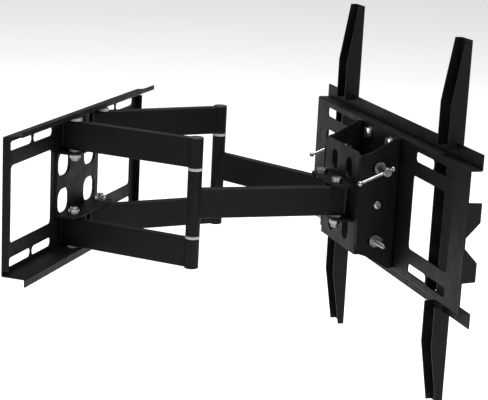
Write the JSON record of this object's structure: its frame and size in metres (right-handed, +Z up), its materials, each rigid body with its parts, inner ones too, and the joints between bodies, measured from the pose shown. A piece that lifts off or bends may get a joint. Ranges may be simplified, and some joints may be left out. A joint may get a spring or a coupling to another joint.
{
  "type": "full motion tv wall mount",
  "caption": "Television wall mount: slotted wall plate, two pairs of folding tube arms, swivelling and tilting head, television plate and sliding slotted rails.",
  "frame": {"origin": "middle of the wall plate's back face, where it lies on the wall", "axes": "+X along the wall, +Y into the wall (the television side is -Y), +Z up"},
  "size_m": [0.5643, 0.6158, 0.506],
  "materials": {
    "black_steel": "satin powder coat",
    "zinc_steel": "bright zinc",
    "black_plastic": "matte",
    "white_nylon": "smooth"
  },
  "bodies": {
    "wall": {"wall_plate": "black_steel", "pivot_bracket": "black_steel", "wall_pivot_bolts": "zinc_steel", "wall_pivot_washers": "white_nylon"},
    "near_wall_arms": {"near_upper_wall_arm": "black_steel", "near_lower_wall_arm": "black_steel", "near_wall_arm_plugs": "black_plastic", "near_elbow_pin": "zinc_steel", "near_elbow_washers": "white_nylon", "near_elbow_caps": "black_plastic"},
    "near_front_arms": {"near_front_arm": "black_steel", "near_front_arm_plug": "black_plastic"},
    "far_wall_arms": {"far_upper_wall_arm": "black_steel", "far_lower_wall_arm": "black_steel", "far_wall_arm_plugs": "black_plastic", "far_elbow_pin": "zinc_steel", "far_elbow_washers": "white_nylon", "far_elbow_caps": "black_plastic"},
    "far_front_arms": {"far_front_arm": "black_steel", "far_front_arm_plug": "black_plastic"},
    "head": {"head_bracket": "black_steel", "upper_pivot_tab": "black_steel", "lower_pivot_tab": "black_steel", "near_pivot_bolt": "zinc_steel", "near_pivot_nut": "zinc_steel", "far_pivot_screws": "zinc_steel", "head_pivot_washers": "white_nylon", "tilt_pivot_bolts": "zinc_steel", "weld_nuts": "zinc_steel", "clamp_washers": "zinc_steel", "lock_studs": "zinc_steel", "lock_nuts": "zinc_steel"},
    "near_clamp": {"near_clamp_screw": "zinc_steel"},
    "near_bar": {"near_tommy_bar": "zinc_steel"},
    "far_clamp": {"far_clamp_screw": "zinc_steel"},
    "far_bar": {"far_tommy_bar": "zinc_steel"},
    "tilt_frame": {"tilt_bracket": "black_steel", "bracket_bolts": "zinc_steel", "bracket_washers": "zinc_steel", "bracket_nuts": "zinc_steel", "tv_plate": "black_steel"},
    "near_rail_body": {"near_rail": "black_steel"},
    "far_rail_body": {"far_rail": "black_steel"}
  },
  "joints": [
    {"name": "near_wall_swing", "type": "hinge", "parent": "wall", "child": "near_wall_arms", "pos_m": [-0.046, -0.0222, 0], "axis": [0, 0, -1], "range_deg": [-2, 77.16]},
    {"name": "near_elbow", "type": "hinge", "parent": "near_wall_arms", "child": "near_front_arms", "pos_m": [-0.06785, -0.21396, 0], "axis": [0, 0, 1], "range_deg": [-3.86, 130.28]},
    {"name": "head_swivel", "type": "hinge", "parent": "near_front_arms", "child": "head", "pos_m": [0.05203, -0.38516, 0], "axis": [0, 0, 1], "range_deg": [-90.32, 2.83]},
    {"name": "far_wall_swing", "type": "hinge", "parent": "wall", "child": "far_wall_arms", "pos_m": [0.046, -0.0222, 0], "axis": [0, 0, 1], "range_deg": [-1.5, 39.2]},
    {"name": "far_elbow", "type": "hinge", "parent": "far_wall_arms", "child": "far_front_arms", "pos_m": [0.18236, -0.15878, 0], "axis": [0, 0, 1], "range_deg": [-103.08, 3.16]},
    {"name": "tilt", "type": "hinge", "parent": "head", "child": "tilt_frame", "pos_m": [0.10312, -0.40451, 0.002], "axis": [0.7965, 0.6046, 0], "range_deg": [-8, 8]},
    {"name": "near_clamp_turn", "type": "hinge", "parent": "head", "child": "near_clamp", "pos_m": [0.02793, -0.46158, 0.055], "axis": [0.7965, 0.6046, 0], "range_deg": [-95, 120]},
    {"name": "near_bar_slide", "type": "slide", "parent": "near_clamp", "child": "near_bar", "axis": [0.5606, -0.7385, 0.3746], "range_m": [0, 0.008]},
    {"name": "near_rail_slide", "type": "slide", "parent": "tilt_frame", "child": "near_rail_body", "axis": [-0.7965, -0.6046, 0], "range_m": [-0.081, 0.066]},
    {"name": "far_clamp_turn", "type": "hinge", "parent": "head", "child": "far_clamp", "pos_m": [0.17831, -0.34743, 0.055], "axis": [0.7965, 0.6046, 0], "range_deg": [-95, 120]},
    {"name": "far_bar_slide", "type": "slide", "parent": "far_clamp", "child": "far_bar", "axis": [0.5606, -0.7385, 0.3746], "range_m": [0, 0.008]},
    {"name": "far_rail_slide", "type": "slide", "parent": "tilt_frame", "child": "far_rail_body", "axis": [0.7965, 0.6046, 0], "range_m": [-0.081, 0.066]}
  ],
  "couplings": [
    {"joint": "near_elbow", "follows": "near_wall_swing", "ratio": 1.6819},
    {"joint": "head_swivel", "follows": "near_wall_swing", "ratio": -1.1641},
    {"joint": "far_wall_swing", "follows": "near_wall_swing", "ratio": 0.50162},
    {"joint": "far_elbow", "follows": "near_wall_swing", "ratio": -1.3295}
  ]
}
